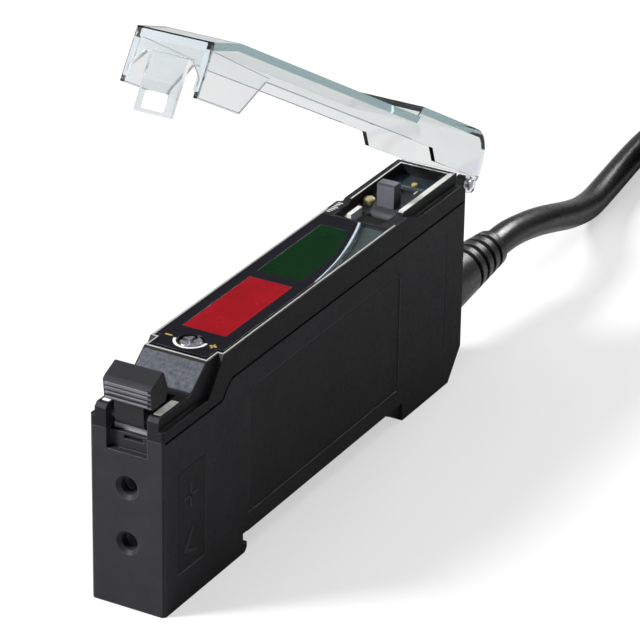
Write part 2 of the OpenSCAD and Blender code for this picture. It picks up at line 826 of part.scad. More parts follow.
module lid_side_outline() {
    rear_y = hump_end_y + hump_r;
    polygon([
        [-1.85, lid_wing_z], [-1.2, lid_z - 1], [5, lid_z], [hump_y, lid_z], [hump_y + 0.9, hump_z],
        [hump_end_y, hump_z], [hump_end_y, hump_z - hump_r], [rear_y, hump_z - hump_r],
        [rear_y, hinge_z + 1.3], [hinge_y + 1, hinge_z + 0.6], [hinge_y, hinge_z],
        [hinge_y - 1.19, hinge_z], [hinge_y - 1.19, rear_ledge_z + 0.15],
        [rim_foot_y + 1.6, rear_ledge_z + 0.15], [rim_foot_y - 0.2, lid_wall_z],
        [shoulder_top_y - 0.2, lid_wall_z], [shoulder_low_y - 1.2, lid_wing_z]
    ]);
    intersection() {
        translate([hump_end_y, hump_z - hump_r]) circle(r = hump_r);
        translate([hump_end_y - 0.5, hump_z - hump_r]) square(hump_r + 1);
    }
    translate([hinge_y, hinge_z]) circle(r = 1.2);
}
module lid_inner_outline() {
    inner_r = hump_r - 0.55;
    top = lid_z - lid_top_t;
    polygon([
        [-1.3, tab_z - over], [-0.55, lid_z - 1 - lid_top_t], [5.05, top], [hump_y + 0.6, top],
        [hump_y + 1.5, hump_z - lid_top_t], [hump_end_y, hump_z - lid_top_t],
        [hump_end_y, hump_z - hump_r], [hump_end_y + inner_r, hump_z - hump_r],
        [hump_end_y + inner_r, tab_z - over]
    ]);
    intersection() {
        translate([hump_end_y, hump_z - hump_r]) circle(r = inner_r);
        translate([hump_end_y - 0.5, 0]) square([hump_r + 1, hump_z - lid_top_t]);
    }
    // Below the rear wall the lid is open between its two arms
    translate([hump_end_y, tab_z]) square([hump_r + 1, hinge_z + 1.1 - tab_z]);
}

module clear_lid() {
    side_in = half_w - lid_side;
    color([0.75, 0.9, 0.92, 0.35]) placed()
        translate([0, hinge_y, hinge_z]) rotate([-lid_open, 0, 0]) translate([0, -hinge_y, -hinge_z])
            difference() {
                union() {
                    difference() {
                        slab(-half_w, half_w) lid_side_outline();
                        slab(-side_in, side_in) lid_inner_outline();
                    }
                    // Finger tab
                    slab(-tab_half, tab_half)
                        polygon([[-1.95, tab_z], [-1.3, tab_z], [-1, lid_wing_z + 1], [-1.75, lid_wing_z + 1]]);
                }
                // Openings beside the tab, which leave a gusset at each side
                for (side = [0, 1]) mirror([side, 0, 0])
                    translate([0, -0.2, 0]) rotate([90, 0, 0]) linear_extrude(3)
                        polygon([
                            [tab_half, tab_z - over], [tab_half, 28.4], [3, 28.4],
                            [side_in, 26.6], [side_in, tab_z - over]
                        ]);
                rod_x(hinge_y, hinge_z, lid_pin_d + 2 * run_gap, -half_w - over, half_w + over);
            }
}

// Cable

module strain_relief() {
    inner_y = body_l - rear_wall;
    end_y = body_l + relief_l;
    color([0.13, 0.13, 0.135]) placed() translate([0, 0, cable_z]) difference() {
        translate([0, inner_y - 1.2, 0]) rotate([-90, 0, 0]) rotate_extrude()
            polygon([
                [0, 0], [relief_d / 2, 0], [relief_d / 2, 1.1], [relief_d / 2 - 1.05, 1.1],
                [relief_d / 2 - 1.05, 2.3], [relief_d / 2, 2.3], [relief_d / 2, 4.2],
                [relief_end_d / 2, end_y - inner_y + 1.2], [0, end_y - inner_y + 1.2]
            ]);
        // Grooves that let the end bend
        for (i = [0:3])
            translate([0, end_y - 2.4 - i * 2.2, 0]) rotate([-90, 0, 0])
                rotate_extrude() translate([relief_end_d / 2 - 0.35 + i * 0.12, 0]) square([2, 0.9]);
    }
}

module inner_leads() {
    lead_d = 1;
    turn_r = 1.6;
    lead_x = main_x - turn_r;
    turn_y = body_l - rear_wall - 6.1;
    color([0.5, 0.3, 0.2]) placed()
        for (i = [0:3]) translate([0, 0, cable_z + (i - 1.5) * 1.3]) {
            rod_y(lead_x, 0, lead_d, turn_y, body_l - rear_wall - 1.2);
            translate([main_x, turn_y, 0]) rotate([0, 0, 180]) rotate_extrude(angle = 90)
                translate([turn_r, 0]) circle(d = lead_d, $fn = 24);
        }
}

// Route of the cable from the strain relief to the coil
cable_route = [
    [0, 91, 9.6], [0, 96, 9.6], [0, 101, 8.9], [0, 106, 7.8], [-0.2, 111, 6.3], [-0.5, 116, 4.7],
    [-1, 121, 3.3], [-1.6, 126, 2.4], [-2.3, 131, 2.1], [-3, 137, 2.1], [-3.7, 143, 2.1],
    [-4.2, 149, 2.1], [-4.3, 155, 2.1], [-3.9, 160, 2.1], [-3.4, 164, 2.1]
];
// Middle of the folded coil's front bend
coil_x = 13;
coil_y = 160;
tie_t = 0.7;
coil_mid_r = (coil_d - bundle_w) / 2;
tail_x = coil_x + coil_d / 2 - 1;
tail_y = 142;

function unit(v) = v / norm(v);
function heading(path, i) =
    unit(path[min(i + 1, len(path) - 1)] - path[max(i - 1, 0)]);
// Ring of points round place i of a path
function ring(path, i, r, sides) =
    let (
        forward = heading(path, i),
        side = unit(cross(forward, [0, 0, 1])),
        up = cross(side, forward)
    )
    [for (k = [0:sides - 1]) path[i] + r * (cos(360 * k / sides) * side + sin(360 * k / sides) * up)];

// Round tube swept along a path
module swept(path, d, sides) {
    n = len(path);
    points = [for (i = [0:n - 1]) each ring(path, i, d / 2, sides)];
    walls = [
        for (i = [0:n - 2], k = [0:sides - 1])
            [i * sides + k, i * sides + (k + 1) % sides,
                (i + 1) * sides + (k + 1) % sides, (i + 1) * sides + k]
    ];
    ends = [
        [for (k = [sides - 1:-1:0]) k],
        [for (k = [0:sides - 1]) (n - 1) * sides + k]
    ];
    polyhedron(points, concat(walls, ends), convexity = 4);
}

module cable() {
    color([0.12, 0.12, 0.125]) placed() swept(cable_route, cable_d, 10);
}

// Section through the bundle of one run
module bundle_section() {
    cut = 2;
    w = bundle_w / 2;
    polygon([
        [-w, cut], [cut - w, 0], [w - cut, 0], [w, cut],
        [w, bundle_h - cut], [w - cut, bundle_h], [cut - w, bundle_h], [-w, bundle_h - cut]
    ]);
}

module cable_coil() {
    color([0.12, 0.12, 0.125]) placed() {
        translate([coil_x, coil_y, tie_t]) {
            rotate([0, 0, 180]) rotate_extrude(angle = 180, $fn = 72)
                translate([coil_mid_r, 0]) bundle_section();
            translate([0, coil_run, 0]) rotate_extrude(angle = 180, $fn = 72)
                translate([coil_mid_r, 0]) bundle_section();
            for (side = [-1, 1]) translate([side * coil_mid_r, coil_run, 0])
                rotate([90, 0, 0]) linear_extrude(coil_run) bundle_section();
        }
        // Sheathed end that leaves the coil beside its outer turn
        rod_y(tail_x, cable_d / 2, cable_d, tail_y, coil_y + 2);
    }
}

module cable_tie() {
    strap = 6;
    w = coil_d / 2;
    color([0.1, 0.1, 0.1]) placed() translate([coil_x, coil_y + coil_run / 2, 0]) {
        difference() {
            block([-w - gap - tie_t, -strap / 2, 0], [w + gap + tie_t, strap / 2, bundle_h + 2 * tie_t + gap]);
            block([-w - gap, -strap, tie_t], [w + gap, strap, bundle_h + tie_t + gap]);
        }
        // Overlapping end of the strap
        block(
            [coil_mid_r - 14, -strap / 2 + 0.4, bundle_h + 2 * tie_t + gap],
            [coil_mid_r + 1, strap / 2 - 0.4, bundle_h + 3 * tie_t + gap]
        );
    }
}

module wire_ends() {
    core_d = 1.2;
    core_l = 18;
    tip_l = 5;
    tip_d = 0.7;
    color([0.45, 0.25, 0.15]) placed() translate([tail_x, tail_y, cable_d / 2])
        for (i = [0:3]) rotate([0, 0, (i - 1.5) * 6]) translate([(i - 1.5) * 0.85, 0, 0]) {
            rod_y(0, i % 2 == 0 ? 0.65 : -0.65, core_d, -core_l, 0);
            rod_y(0, i % 2 == 0 ? 0.65 : -0.65, tip_d, -core_l - tip_l, -core_l + 0.5);
        }
}

base_housing();
top_cover();
window_plate();
red_window();
green_window();
red_display();
green_display();
trimmer_rotor();
trimmer_body();
jog_lever();
jog_switch();
selector_knob();
selector_switch();
output_led();
power_led();
lock_lever();
lever_pin();
fibre_clamp();
fibre_guide();
emitter_led();
photodiode();
shield_can();
main_board();
display_board();
processor_chip();
receiver_chip();
output_transistor();
supply_capacitor();
chip_capacitors();
board_connector();
clear_lid();
lid_pin();
strain_relief();
inner_leads();
cable();
cable_coil();
cable_tie();
wire_ends();
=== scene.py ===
"""Looks of the fibre optic amplifier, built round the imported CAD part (metres, record frame)."""

import math

import bmesh
import bpy
from mathutils import Matrix, Vector


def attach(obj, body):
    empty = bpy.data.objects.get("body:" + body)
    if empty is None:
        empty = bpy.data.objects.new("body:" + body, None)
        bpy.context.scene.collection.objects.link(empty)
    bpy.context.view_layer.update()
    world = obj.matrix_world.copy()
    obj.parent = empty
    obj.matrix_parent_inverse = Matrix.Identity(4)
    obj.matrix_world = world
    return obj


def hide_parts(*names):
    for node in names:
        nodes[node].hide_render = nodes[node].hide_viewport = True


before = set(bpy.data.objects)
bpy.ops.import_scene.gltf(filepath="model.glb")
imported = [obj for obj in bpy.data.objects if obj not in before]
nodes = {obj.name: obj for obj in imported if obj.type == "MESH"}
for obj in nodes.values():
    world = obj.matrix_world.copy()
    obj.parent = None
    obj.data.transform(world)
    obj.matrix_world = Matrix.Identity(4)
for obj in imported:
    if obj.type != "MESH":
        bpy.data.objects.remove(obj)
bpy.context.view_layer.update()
MM = 0.001

# The source is drawn from the front lower corner; the record frame starts at the rail seat
RAIL_Y = 35.3
SEAT_Z = 2.6
FLOOR_Z = -SEAT_Z * MM


def at(x, y, z):
    """A place given in millimetres from the front lower corner."""
    return Vector((x * MM, (y - RAIL_Y) * MM, (z - SEAT_Z) * MM))


# Camera, in degrees, in pixels of the photograph and in millimetres
AZIMUTH = 29.14
ELEVATION = 26.16
ROLL = 0.94
PICTURE_PX = 640
SENSOR_MM = 36.0
FOCAL_PX = 3769.0
ORIGIN_PX = (127.97, 607.72)
ORIGIN_DEPTH = 437.34


def add_camera():
    """The front lower corner falls on ORIGIN_PX of the picture, ORIGIN_DEPTH before the camera."""
    az, el, roll = (math.radians(v) for v in (AZIMUTH, ELEVATION, ROLL))
    forward = Vector((-math.sin(az) * math.cos(el), math.cos(az) * math.cos(el), -math.sin(el)))
    level = Vector((math.cos(az), math.sin(az), 0.0))
    above = level.cross(forward)
    right = math.cos(roll) * level + math.sin(roll) * above
    up = -math.sin(roll) * level + math.cos(roll) * above
    across = (ORIGIN_PX[0] - PICTURE_PX / 2) / FOCAL_PX * ORIGIN_DEPTH
    down = (ORIGIN_PX[1] - PICTURE_PX / 2) / FOCAL_PX * ORIGIN_DEPTH
    eye = -(across * right - down * up + ORIGIN_DEPTH * forward)
    data = bpy.data.cameras.new("camera")
    data.sensor_width = SENSOR_MM
    data.lens = FOCAL_PX / PICTURE_PX * SENSOR_MM
    data.clip_start = 0.01
    data.clip_end = 10.0
    camera = bpy.data.objects.new("camera", data)
    turn = Matrix((right, up, -forward)).transposed().to_4x4()
    camera.matrix_world = Matrix.Translation(at(*eye)) @ turn
    bpy.context.collection.objects.link(camera)
    bpy.context.scene.camera = camera


add_camera()


def new_material(name):
    """A node material with one Principled shader."""
    material = bpy.data.materials.new(name)
    material.use_nodes = True
    tree = material.node_tree
    tree.nodes.clear()
    out = tree.nodes.new("ShaderNodeOutputMaterial")
    shader = tree.nodes.new("ShaderNodeBsdfPrincipled")
    tree.links.new(shader.outputs[0], out.inputs[0])
    return material, tree, shader


def set_values(shader, **values):
    """Values that are the same all over the surface, on the shader's own sockets."""
    for key, value in values.items():
        shader.inputs[key.replace("_", " ")].default_value = value


def noise(tree, scale, detail=3.0, rough=0.55, stretch=None):
    """Noise in object space, in features per metre."""
    coord = tree.nodes.new("ShaderNodeTexCoord")
    node = tree.nodes.new("ShaderNodeTexNoise")
    node.inputs["Scale"].default_value = scale
    node.inputs["Detail"].default_value = detail
    node.inputs["Roughness"].default_value = rough
    source = coord.outputs["Object"]
    if stretch:
        mapping = tree.nodes.new("ShaderNodeMapping")
        mapping.inputs["Scale"].default_value = stretch
        tree.links.new(source, mapping.inputs["Vector"])
        source = mapping.outputs["Vector"]
    tree.links.new(source, node.inputs["Vector"])
    return node


def ramp(tree, source, stops):
    """A colour ramp of (place, colour) stops, fed by source."""
    node = tree.nodes.new("ShaderNodeValToRGB")
    elements = node.color_ramp.elements
    while len(elements) < len(stops):
        elements.new(0.5)
    for element, (place, colour) in zip(elements, stops):
        element.position = place
        element.color = (*colour, 1.0)
    tree.links.new(source, node.inputs["Fac"])
    return node


def grey(value):
    return (value, value, value)


def scaled(colour, factor):
    return tuple(min(1.0, c * factor) for c in colour)


def bump(tree, shader, height, distance, strength=0.3):
    node = tree.nodes.new("ShaderNodeBump")
    node.inputs["Strength"].default_value = strength
    node.inputs["Distance"].default_value = distance
    tree.links.new(height, node.inputs["Height"])
    tree.links.new(node.outputs["Normal"], shader.inputs["Normal"])
    return node


# How much paler an edge is painted than its face, as a painted highlight, and the edge's roughness
EDGE_HIGHLIGHT_PALER = 2.2
WORN_ROUGH = 0.24


def highlight_and_polish_edges(tree, shader, soft, tint, gloss, colour):
    """Edges are smoother than the faces, from handling, and painted paler than them as a painted
    highlight.
    """
    faces = tree.nodes.new("ShaderNodeNewGeometry")
    dot = tree.nodes.new("ShaderNodeVectorMath")
    dot.operation = "DOT_PRODUCT"
    tree.links.new(soft.outputs["Normal"], dot.inputs[0])
    tree.links.new(faces.outputs["True Normal"], dot.inputs[1])
    worn = tree.nodes.new("ShaderNodeMapRange")
    worn.inputs["From Min"].default_value = 0.998
    worn.inputs["From Max"].default_value = 0.93
    tree.links.new(dot.outputs["Value"], worn.inputs["Value"])
    pale = tree.nodes.new("ShaderNodeMix")
    pale.data_type = "RGBA"
    tree.links.new(worn.outputs["Result"], pale.inputs["Factor"])
    tree.links.new(tint.outputs["Color"], pale.inputs["A"])
    pale.inputs["B"].default_value = (*scaled(colour, EDGE_HIGHLIGHT_PALER), 1.0)
    tree.links.new(pale.outputs["Result"], shader.inputs["Base Color"])
    smooth = tree.nodes.new("ShaderNodeMix")
    tree.links.new(worn.outputs["Result"], smooth.inputs["Factor"])
    tree.links.new(gloss.outputs["Color"], smooth.inputs["A"])
    smooth.inputs["B"].default_value = WORN_ROUGH
    tree.links.new(smooth.outputs["Result"], shader.inputs["Roughness"])


def moulded(name, colour, rough, grain=9000.0, relief=6e-6, spread=0.12, spec=0.5, edge=None,
            mottle=260.0):
    """Moulded plastic: slightly uneven colour, uneven gloss and a fine spark-eroded grain.
    grain and mottle are features per metre, relief and edge are metres, spread is a share."""
    material, tree, shader = new_material(name)
    set_values(shader, Specular_IOR_Level=spec)
    broad = noise(tree, mottle, 4.0)
    tint = ramp(tree, broad.outputs["Fac"],
                [(0.3, scaled(colour, 1 - spread)), (0.7, scaled(colour, 1 + spread))])
    tree.links.new(tint.outputs["Color"], shader.inputs["Base Color"])
    mid = noise(tree, 1400.0, 5.0)
    gloss = ramp(tree, mid.outputs["Fac"], [(0.3, grey(rough - 0.06)), (0.7, grey(rough + 0.06))])
    tree.links.new(gloss.outputs["Color"], shader.inputs["Roughness"])
    fine = noise(tree, grain, 3.0)
    node = bump(tree, shader, fine.outputs["Fac"], relief, 0.5)
    # With edge, the edges are painted paler than the faces: a painted highlight.
    if edge:
        soft = tree.nodes.new("ShaderNodeBevel")
        soft.samples = 6
        soft.inputs["Radius"].default_value = edge
        tree.links.new(soft.outputs["Normal"], node.inputs["Normal"])
        highlight_and_polish_edges(tree, shader, soft, tint, gloss, colour)
    return material


def metal(name, colour, rough, stretch=(1.0, 1.0, 1.0), lines_scale=5000.0, relief=4e-6):
    """Metal with fine lines, drawn out along the axis where stretch is small."""
    material, tree, shader = new_material(name)
    set_values(shader, Metallic=1.0)
    lines = noise(tree, lines_scale, 4.0, 0.6, stretch)
    tint = ramp(tree, lines.outputs["Fac"], [(0.3, scaled(colour, 0.88)), (0.7, scaled(colour, 1.08))])
    tree.links.new(tint.outputs["Color"], shader.inputs["Base Color"])
    gloss = ramp(tree, lines.outputs["Fac"], [(0.2, grey(rough - 0.07)), (0.8, grey(rough + 0.07))])
    tree.links.new(gloss.outputs["Color"], shader.inputs["Roughness"])
    bump(tree, shader, lines.outputs["Fac"], relief, 0.4)
    return material


def clear(name, colour, rough, ior=1.5, weight=1.0, haze=None, density=0.0, spec=0.5):
    """Clear moulded plastic with a faintly wavy surface, which darkens to haze with its depth."""
    material, tree, shader = new_material(name)
    set_values(shader, Transmission_Weight=weight, IOR=ior, Specular_IOR_Level=spec)
    waves = noise(tree, 420.0, 2.0)
    tint = ramp(tree, waves.outputs["Fac"], [(0.2, scaled(colour, 0.985)), (0.8, colour)])
    tree.links.new(tint.outputs["Color"], shader.inputs["Base Color"])
    gloss = ramp(tree, waves.outputs["Fac"], [(0.2, grey(rough)), (0.8, grey(rough + 0.03))])
    tree.links.new(gloss.outputs["Color"], shader.inputs["Roughness"])
    bump(tree, shader, waves.outputs["Fac"], 2e-6)
    if density:
        depth = tree.nodes.new("ShaderNodeVolumeAbsorption")
        depth.inputs["Color"].default_value = (*haze, 1.0)
        depth.inputs["Density"].default_value = density
        tree.links.new(depth.outputs[0], tree.nodes["Material Output"].inputs["Volume"])
    return material


# Brown, white, blue and black, the usual colours of a sensor cable, and tin
CORE_COLOURS = [(0.0, (0.16, 0.055, 0.025)), (0.25, (0.62, 0.62, 0.6)),
                (0.5, (0.02, 0.07, 0.32)), (0.75, (0.02, 0.02, 0.02))]
TIN = (0.62, 0.6, 0.56, 1.0)


def cores(name, middle, end, pitch, fan, bare):
    """Four fanned cores about x = middle, which run back from y = end and are tinned past bare."""
    material, tree, shader = new_material(name)
    coord = tree.nodes.new("ShaderNodeTexCoord")
    split = tree.nodes.new("ShaderNodeSeparateXYZ")
    tree.links.new(coord.outputs["Object"], split.inputs[0])

    def math_node(operation, first, second):
        node = tree.nodes.new("ShaderNodeMath")
        node.operation = operation
        for socket, value in zip(node.inputs, (first, second)):
            if isinstance(value, float):
                socket.default_value = value
            else:
                tree.links.new(value, socket)
        return node.outputs[0]

    run = math_node("SUBTRACT", end, split.outputs["Y"])
    aside = math_node("SUBTRACT", split.outputs["X"], middle)
    spread = math_node("ADD", math_node("MULTIPLY", run, fan), pitch)
    place = math_node("ADD", math_node("MULTIPLY", math_node("DIVIDE", aside, spread), 0.25), 0.5)
    four = ramp(tree, place, CORE_COLOURS)
    four.color_ramp.interpolation = "CONSTANT"
    worn = noise(tree, 1200.0, 3.0)
    shade = tree.nodes.new("ShaderNodeMix")
    shade.data_type = "RGBA"
    shade.blend_type = "MULTIPLY"
    shade.inputs["Factor"].default_value = 0.25
    tree.links.new(four.outputs["Color"], shade.inputs["A"])
    tree.links.new(worn.outputs["Color"], shade.inputs["B"])
    tip = math_node("GREATER_THAN", run, bare)
    skin = tree.nodes.new("ShaderNodeMix")
    skin.data_type = "RGBA"
    tree.links.new(tip, skin.inputs["Factor"])
    tree.links.new(shade.outputs["Result"], skin.inputs["A"])
    skin.inputs["B"].default_value = TIN
    tree.links.new(skin.outputs["Result"], shader.inputs["Base Color"])
    tree.links.new(tip, shader.inputs["Metallic"])
    gloss = ramp(tree, worn.outputs["Fac"], [(0.3, grey(0.3)), (0.7, grey(0.42))])
    tree.links.new(gloss.outputs["Color"], shader.inputs["Roughness"])
    bump(tree, shader, noise(tree, 3000.0).outputs["Fac"], 4e-6, 0.4)
    return material


EDGE = 0.16 * MM
LOOKS = {
    "housing": moulded("housing_plastic", (0.0235, 0.0232, 0.026), 0.5, spec=0.09, edge=EDGE),
    "cover": moulded("cover_plastic", (0.014, 0.0138, 0.0155), 0.44, spec=0.08, edge=EDGE),
    "lever": moulded("lever_plastic", (0.0165, 0.0165, 0.019), 0.45, spec=0.13, edge=EDGE),
    "jog": moulded("jog_plastic", (0.026, 0.0265, 0.033), 0.42, spec=0.12, edge=EDGE),
    "gloss": moulded("gloss_black", (0.004, 0.0035, 0.007), 0.1, grain=900.0, relief=1.5e-6, spec=0.17,
                     edge=EDGE),
    "red": moulded("red_filter", (0.22, 0.0035, 0.0075), 0.22, grain=2600.0, relief=2e-6, spread=0.1,
                   spec=0.06),
    "green": moulded("green_filter", (0.0015, 0.0185, 0.0045), 0.22, grain=2600.0, relief=3e-6,
                     spread=0.15, spec=0.04),
    "display": moulded("display_plastic", (0.6, 0.6, 0.58), 0.5),
    "plated": metal("plated_metal", (0.7, 0.69, 0.74), 0.3, lines_scale=1500.0, relief=8e-7),
    "steel": metal("steel", (0.56, 0.56, 0.57), 0.3, (0.1, 1.0, 1.0)),
    "trim_body": moulded("trimmer_plastic", (0.05, 0.1, 0.35), 0.45),
    "switch": moulded("switch_plastic", (0.04, 0.04, 0.045), 0.5),
    "white": moulded("white_plastic", (0.62, 0.61, 0.59), 0.4),
    "amber": clear("amber_lens", (0.66, 0.62, 0.3), 0.1, weight=0.55),
    "clamp": moulded("clamp_plastic", (0.3, 0.3, 0.32), 0.5),
    "guide": moulded("guide_plastic", (0.03, 0.03, 0.032), 0.5),
    "emitter": clear("red_emitter", (0.7, 0.08, 0.06), 0.05, weight=0.8),
    "receiver": moulded("receiver_dark", (0.02, 0.02, 0.035), 0.15, grain=1200.0),
    "tinned": metal("tinned_sheet", (0.62, 0.63, 0.64), 0.3),
    "board": moulded("circuit_board", (0.02, 0.14, 0.06), 0.3, grain=2500.0, spread=0.2),
    "chip": moulded("chip_black", (0.02, 0.02, 0.022), 0.55),
    "can": metal("can_aluminium", (0.72, 0.73, 0.75), 0.3, (0.15, 1.0, 1.0)),
    "ceramic": moulded("capacitor_ceramic", (0.45, 0.34, 0.22), 0.45),
    "connector": moulded("connector_plastic", (0.75, 0.72, 0.6), 0.45),
    "lid": clear("clear_plastic", (0.995, 0.998, 1.0), 0.015, 1.3, haze=(0.06, 0.34, 0.36), density=84.0),
    "relief": moulded("relief_rubber", (0.014, 0.014, 0.015), 0.3, grain=5000.0, spec=0.6, edge=EDGE),
    "core": moulded("core_insulation", (0.25, 0.1, 0.05), 0.35, grain=3000.0),
    "cores": cores("core_colours", 30.0 * MM, (142.0 - RAIL_Y) * MM, 0.85 * MM, 0.105, 18.0 * MM),
    "sheath": moulded("cable_sheath", (0.0085, 0.0085, 0.009), 0.31, grain=2600.0, relief=5e-7, spec=0.55),
    "tie": moulded("tie_plastic", (0.02, 0.02, 0.02), 0.4),
    # Painted reflection: a teal tint on the sheet in the corner beside the arc.
    "corner": moulded("corner_painted_reflection", (0.012, 0.026, 0.024), 0.16, grain=1500.0, relief=1e-6, spec=0.35),
    # Painted highlight along the window plate's arc.
    "arc": moulded("painted_arc_highlight", (0.42, 0.52, 0.6), 0.18, grain=1500.0, relief=1e-6, spec=0.8),
    "panel": moulded("lamp_panel", (0.02, 0.03, 0.038), 0.1, grain=1500.0, relief=1e-6, spec=0.5),
    "film": moulded("label_film", (0.0175, 0.017, 0.0192), 0.4, grain=3000.0, relief=2e-6, spec=0.1),
    # Painted highlight: a pale line round the label's rim.
    "rim_line_highlight": moulded("painted_label_rim_highlight", (0.062, 0.062, 0.068), 0.4, spec=0.2),
    "print": moulded("white_print", (0.62, 0.62, 0.6), 0.45, grain=3000.0, relief=2e-6),
    "gold": moulded("gold_print", (0.42, 0.3, 0.07), 0.35, grain=3000.0, relief=2e-6),
    "mark": moulded("raised_mark", (0.026, 0.026, 0.03), 0.4, spec=0.2),
    # Painted highlights: pale strips along the deck's rims and on the ramp at the front of the pocket's
    # wall.
    "rim": moulded("painted_rim_highlight", (0.42, 0.41, 0.385), 0.22, grain=2500.0, relief=1e-6, spec=0.6),
    "ramp_highlight": moulded("painted_ramp_highlight", (0.4, 0.398, 0.38), 0.4, grain=4000.0, relief=2e-6, spec=0.2),
    "slope": moulded("slope_grain", (0.054, 0.06, 0.073), 0.48, grain=2600.0, relief=2.2e-5, spread=0.45,
                     spec=0.2, mottle=2200.0),
    # Painted light: the jog lever's front and top are painted paler than its sides.
    "jog_painted_light": moulded("jog_painted_light", (0.097, 0.098, 0.116), 0.42, spec=0.12),
    # Painted highlight on the tops of the pocket's walls.
    "cap": moulded("painted_wall_top_highlight", (0.58, 0.575, 0.545), 0.4, grain=4000.0, relief=2e-6, spec=0.25),
    # Painted light: the lever's front grip is painted paler than its top.
    "grip": moulded("grip_painted_light", (0.15, 0.15, 0.167), 0.42, spec=0.2),
    # Painted highlight on the ear tops.
    "bright": moulded("painted_ear_highlight", (0.72, 0.71, 0.66), 0.28, grain=4000.0, relief=2e-6, spec=0.5),
    "lamp": clear("gold_lens", (0.4, 0.33, 0.08), 0.15, weight=0.3),
    "frost": clear("frosted_clear", (0.8, 0.82, 0.84), 0.3, spec=0.2),
    "tint": clear("clear_skin", (0.94, 0.955, 0.97), 0.05, 1.3, spec=0.2),
    # Painted light and painted shade along the clear lid's edges, in place of its refraction.
    "lid_edge_light": clear("painted_edge_light", (0.385, 0.43, 0.455), 0.3, 1.3, weight=0.3, spec=0.15),
    "line": clear("painted_edge_shade", (0.12, 0.2, 0.25), 0.1, spec=0.2),
    "seam": moulded("seam_shadow", (0.0025, 0.0025, 0.003), 0.8, spec=0.0),
}

NODE_MATERIALS = {
    "base_housing": "housing", "top_cover": "cover", "window_plate": "gloss",
    "red_window": "red", "green_window": "green", "red_display": "display",
    "green_display": "display", "trimmer_rotor": "plated", "trimmer_body": "trim_body",
    "jog_lever": "jog", "jog_switch": "switch", "selector_knob": "white",
    "selector_switch": "switch", "output_led": "amber", "power_led": "lamp",
    "lock_lever": "lever", "lever_pin": "steel", "fibre_clamp": "clamp",
    "fibre_guide": "guide", "emitter_led": "emitter", "photodiode": "receiver",
    "shield_can": "tinned", "main_board": "board", "display_board": "board",
    "processor_chip": "chip", "receiver_chip": "chip", "output_transistor": "chip",
    "supply_capacitor": "can", "chip_capacitors": "ceramic", "board_connector": "connector",
    "clear_lid": "lid", "lid_pin": "steel", "strain_relief": "relief", "inner_leads": "core",
    "cable": "sheath", "cable_coil": "sheath", "cable_tie": "tie", "wire_ends": "cores",
}
for name, key in NODE_MATERIALS.items():
    for slot in nodes[name].material_slots:
        slot.material = LOOKS[key]

# Places for the thin pieces, in millimetres from the front lower corner.
# Heights of the window plate, deck, pocket walls, ears, corner beside the arc, and pocket floor
DECK_TOP = 28.65
DECK_Z = 28.45
WALL_Z = 28.8
EAR_Z = 25.7
CORNER_Z = 28.1
POCKET_Z = 27.3
POCKET_FRONT = 53.6
# The slope's foot and its run, and the same of the ramp up to the pocket's wall
SLOPE_Y = 7.1
SLOPE_RUN = 3.55
RAMP_Y = 57.4
RAMP_RUN = 0.8
# The window plate's arc: its middle and its radius
ARC_X = -56.85
ARC_Y = 31.8
ARC_RADIUS = 61.5
TRIMMER = (0.0, 14.1)
# Where the lid's wing ends, at its foot and at its top
SHOULDER = (8.55, 12.95)
# The lid's hinge and how far the lid is open at rest
HINGE = (75.0, 26.3)
LID_OPEN = math.radians(29.5)
# Thickness of faces, films and caps, and how far out the seams, panels and outermost lines start
FACE = 0.02
FILM = 0.03
CAP = 0.04
SEAM_SIDE = 4.98
PANEL_SIDE = 4.88
OUTER_SIDE = 4.995


def arc_x(y, out=0.0):
    """Right edge of the window plate's arc at a given y."""
    return ARC_X + math.sqrt((ARC_RADIUS + out) ** 2 - (y - ARC_Y) ** 2)


def span(first, last, count):
    """Evenly spaced values from first to last."""
    return [first + (last - first) * k / (count - 1) for k in range(count)]


def eased(t):
    """From 0 to 1 with a soft start and end."""
    t = min(1.0, max(0.0, t))
    return t * t * (3 - 2 * t)


def rounded(x0, y0, x1, y1, radius, steps=6):
    """Corners of a rectangle with rounded corners."""
    points = []
    corners = [(x1 - radius, y1 - radius, 0), (x0 + radius, y1 - radius, 90),
               (x0 + radius, y0 + radius, 180), (x1 - radius, y0 + radius, 270)]
    for cx, cy, start in corners:
        for k in range(steps + 1):
            angle = math.radians(start + 90 * k / steps)
            points.append((cx + radius * math.cos(angle), cy + radius * math.sin(angle)))
    return points


def sector(cx, cy, inner, outer, start, end):
    """Outline of a part of a ring, between two angles in degrees."""
    angles = [math.radians(a) for a in span(start, end, 20)]
    return ([(cx + outer * math.cos(a), cy + outer * math.sin(a)) for a in angles]
            + [(cx + inner * math.cos(a), cy + inner * math.sin(a)) for a in reversed(angles)])


def plates(name, outlines, base, height, place, material, body="housing"):
    """One piece of thin plates with sloping edges. place turns (u, v, h) into millimetres."""
    mesh = bpy.data.meshes.new(name)
    build = bmesh.new()
    for outline in outlines:
        low = [build.verts.new(at(*place(u, v, base))) for u, v in outline]
        cx = sum(u for u, v in outline) / len(outline)
        cy = sum(v for u, v in outline) / len(outline)
        reach = max(math.hypot(u - cx, v - cy) for u, v in outline)
        shrink = 1 - min(0.3, height * 0.5 / reach)
        top = [(cx + (u - cx) * shrink, cy + (v - cy) * shrink) for u, v in outline]
        high = [build.verts.new(at(*place(u, v, base + height))) for u, v in top]
        count = len(outline)
        build.faces.new(high)
        build.faces.new(list(reversed(low)))
        for k in range(count):
            build.faces.new((low[k], low[(k + 1) % count], high[(k + 1) % count], high[k]))
    bmesh.ops.recalc_face_normals(build, faces=build.faces)
    build.to_mesh(mesh)
    build.free()
    mesh.materials.append(material)
    piece = bpy.data.objects.new(name, mesh)
    bpy.context.collection.objects.link(piece)
    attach(piece, body)


def flat(u, v, h):
    return u, v, h


def right_side(u, v, h):
    return h, u, v


def left_side(u, v, h):
    return -h, u, v


